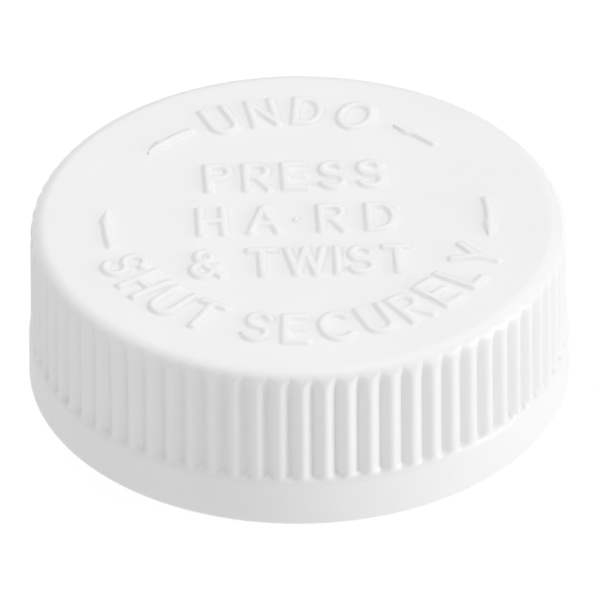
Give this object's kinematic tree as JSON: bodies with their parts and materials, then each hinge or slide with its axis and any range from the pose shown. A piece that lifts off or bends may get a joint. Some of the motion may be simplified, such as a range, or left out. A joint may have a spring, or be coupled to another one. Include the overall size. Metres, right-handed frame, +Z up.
{
  "type": "child-resistant push-and-turn closure",
  "caption": "Ribbed white child-resistant screw closure: a free-turning outer shell over a sprung, threaded inner cap with a foam liner, pushed down to drive it.",
  "frame": {"origin": "centre of the plane that the shell's rim stands on", "axes": "+Z up the closure's axis, from its open rim to its lettered top; -Y is the side that the lettering is read from"},
  "size_m": [0.052, 0.052, 0.0173],
  "materials": {
    "shell_plastic": "opaque white polypropylene, soft semi-matt mould finish",
    "cap_plastic": "opaque white polypropylene, smooth mould finish",
    "finger_plastic": "opaque white polypropylene, smooth mould finish",
    "liner_back": "thin smooth polyethylene film",
    "liner_foam": "fine closed-cell polyethylene foam",
    "liner_seal": "thin smooth polyethylene film"
  },
  "bodies": {
    "outer_shell": {"outer_shell": "shell_plastic"},
    "liner": {"liner_back_film": "liner_back", "liner_foam_core": "liner_foam", "liner_seal_film": "liner_seal"},
    "inner_cap": {"inner_cap": "cap_plastic", "spring_fingers": "finger_plastic"}
  },
  "joints": [
    {"name": "push_down", "type": "slide", "parent": "outer_shell", "child": "liner", "axis": [0, 0, 1], "range_m": [0, 0.0013], "stiffness_N_per_m": 5000, "springref_m": -0.0003, "deforming": ["spring_fingers"]},
    {"name": "free_spin", "type": "hinge", "parent": "liner", "child": "inner_cap", "pos_m": [0, 0, 0.01], "axis": [0, 0, 1], "continuous": true}
  ]
}
